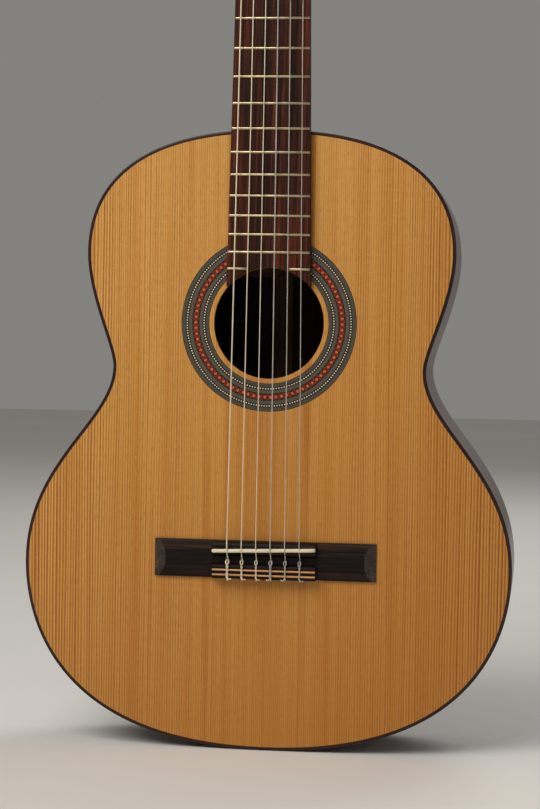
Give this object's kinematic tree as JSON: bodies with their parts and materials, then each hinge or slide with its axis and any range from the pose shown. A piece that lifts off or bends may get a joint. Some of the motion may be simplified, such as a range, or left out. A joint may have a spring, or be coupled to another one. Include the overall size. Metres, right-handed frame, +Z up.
{
  "type": "classical guitar",
  "caption": "Classical guitar with a waisted hollow body, round soundhole with inlaid rosette, tie bridge, fretted neck and slotted head with worm-geared tuners.",
  "frame": {"origin": "lowest point of the tail's outline, in the plane of the soundboard's front", "axes": "+Z runs up the neck, the soundboard faces -Y so +Y points to the back, and +X is the treble side"},
  "size_m": [0.383, 0.1132, 0.9984],
  "materials": {
    "soundboard_wood": "satin",
    "back_and_side_wood": "gloss",
    "binding_wood": "gloss",
    "lining_wood": "matte",
    "brace_wood": "matte",
    "rosette_inlay": "satin",
    "neck_wood": "satin",
    "fingerboard_wood": "satin",
    "fret_metal": "polished",
    "bone": "polished",
    "bridge_wood": "satin",
    "inlay_strip": "satin",
    "treble_nylon": "clear",
    "wound_bass": "satin",
    "tuner_brass": "polished",
    "worm_steel": "polished",
    "button_pearl": "pearl",
    "roller_white": "gloss"
  },
  "bodies": {
    "guitar": {"soundboard_bass": "soundboard_wood", "soundboard_treble": "soundboard_wood", "back_bass": "back_and_side_wood", "back_treble": "back_and_side_wood", "side_bass": "back_and_side_wood", "side_treble": "back_and_side_wood", "top_binding": "binding_wood", "back_binding": "binding_wood", "top_lining": "lining_wood", "back_lining": "lining_wood", "fan_braces": "brace_wood", "harmonic_bars": "brace_wood", "soundhole_patch": "soundboard_wood", "back_braces": "brace_wood", "back_seam_strip": "lining_wood", "tail_block": "neck_wood", "end_graft": "binding_wood", "rosette": "rosette_inlay", "neck": "neck_wood", "heel_cap": "binding_wood", "fingerboard": "fingerboard_wood", "frets": "fret_metal", "nut": "bone", "head_veneer": "back_and_side_wood", "bridge": "bridge_wood", "saddle": "bone", "tie_block_strips": "inlay_strip", "tuner_plate_bass": "tuner_brass", "tuner_plate_treble": "tuner_brass", "tuner_plate_screws": "tuner_brass", "string_1": "treble_nylon", "string_2": "treble_nylon", "string_3": "treble_nylon", "string_4": "wound_bass", "string_5": "wound_bass", "string_6": "wound_bass"},
    "button_shaft_1": {"worm_1": "worm_steel", "button_1": "button_pearl"},
    "string_post_1": {"roller_1": "roller_white", "gear_1": "tuner_brass"},
    "button_shaft_2": {"worm_2": "worm_steel", "button_2": "button_pearl"},
    "string_post_2": {"roller_2": "roller_white", "gear_2": "tuner_brass"},
    "button_shaft_3": {"worm_3": "worm_steel", "button_3": "button_pearl"},
    "string_post_3": {"roller_3": "roller_white", "gear_3": "tuner_brass"},
    "button_shaft_4": {"worm_4": "worm_steel", "button_4": "button_pearl"},
    "string_post_4": {"roller_4": "roller_white", "gear_4": "tuner_brass"},
    "button_shaft_5": {"worm_5": "worm_steel", "button_5": "button_pearl"},
    "string_post_5": {"roller_5": "roller_white", "gear_5": "tuner_brass"},
    "button_shaft_6": {"worm_6": "worm_steel", "button_6": "button_pearl"},
    "string_post_6": {"roller_6": "roller_white", "gear_6": "tuner_brass"}
  },
  "joints": [
    {"name": "button_turn_1", "type": "hinge", "parent": "guitar", "child": "button_shaft_1", "pos_m": [0.0413, 0.02199, 0.86246], "axis": [0, 0.9703, -0.2419], "continuous": true},
    {"name": "roller_turn_1", "type": "hinge", "parent": "guitar", "child": "string_post_1", "pos_m": [0.02, 0.02422, 0.87138], "axis": [-1, 0, 0], "continuous": true},
    {"name": "button_turn_2", "type": "hinge", "parent": "guitar", "child": "button_shaft_2", "pos_m": [0.0413, 0.03046, 0.89642], "axis": [0, 0.9703, -0.2419], "continuous": true},
    {"name": "roller_turn_2", "type": "hinge", "parent": "guitar", "child": "string_post_2", "pos_m": [0.02, 0.03268, 0.90534], "axis": [-1, 0, 0], "continuous": true},
    {"name": "button_turn_3", "type": "hinge", "parent": "guitar", "child": "button_shaft_3", "pos_m": [0.0413, 0.03893, 0.93038], "axis": [0, 0.9703, -0.2419], "continuous": true},
    {"name": "roller_turn_3", "type": "hinge", "parent": "guitar", "child": "string_post_3", "pos_m": [0.02, 0.04115, 0.9393], "axis": [-1, 0, 0], "continuous": true},
    {"name": "button_turn_4", "type": "hinge", "parent": "guitar", "child": "button_shaft_4", "pos_m": [-0.0413, 0.03893, 0.93038], "axis": [0, 0.9703, -0.2419], "continuous": true},
    {"name": "roller_turn_4", "type": "hinge", "parent": "guitar", "child": "string_post_4", "pos_m": [-0.02, 0.04115, 0.9393], "axis": [-1, 0, 0], "continuous": true},
    {"name": "button_turn_5", "type": "hinge", "parent": "guitar", "child": "button_shaft_5", "pos_m": [-0.0413, 0.03046, 0.89642], "axis": [0, 0.9703, -0.2419], "continuous": true},
    {"name": "roller_turn_5", "type": "hinge", "parent": "guitar", "child": "string_post_5", "pos_m": [-0.02, 0.03268, 0.90534], "axis": [-1, 0, 0], "continuous": true},
    {"name": "button_turn_6", "type": "hinge", "parent": "guitar", "child": "button_shaft_6", "pos_m": [-0.0413, 0.02199, 0.86246], "axis": [0, 0.9703, -0.2419], "continuous": true},
    {"name": "roller_turn_6", "type": "hinge", "parent": "guitar", "child": "string_post_6", "pos_m": [-0.02, 0.02422, 0.87138], "axis": [-1, 0, 0], "continuous": true}
  ],
  "couplings": [
    {"joint": "roller_turn_1", "follows": "button_turn_1", "ratio": 0.071429},
    {"joint": "roller_turn_2", "follows": "button_turn_2", "ratio": 0.071429},
    {"joint": "roller_turn_3", "follows": "button_turn_3", "ratio": 0.071429},
    {"joint": "roller_turn_4", "follows": "button_turn_4", "ratio": 0.071429},
    {"joint": "roller_turn_5", "follows": "button_turn_5", "ratio": 0.071429},
    {"joint": "roller_turn_6", "follows": "button_turn_6", "ratio": 0.071429}
  ]
}
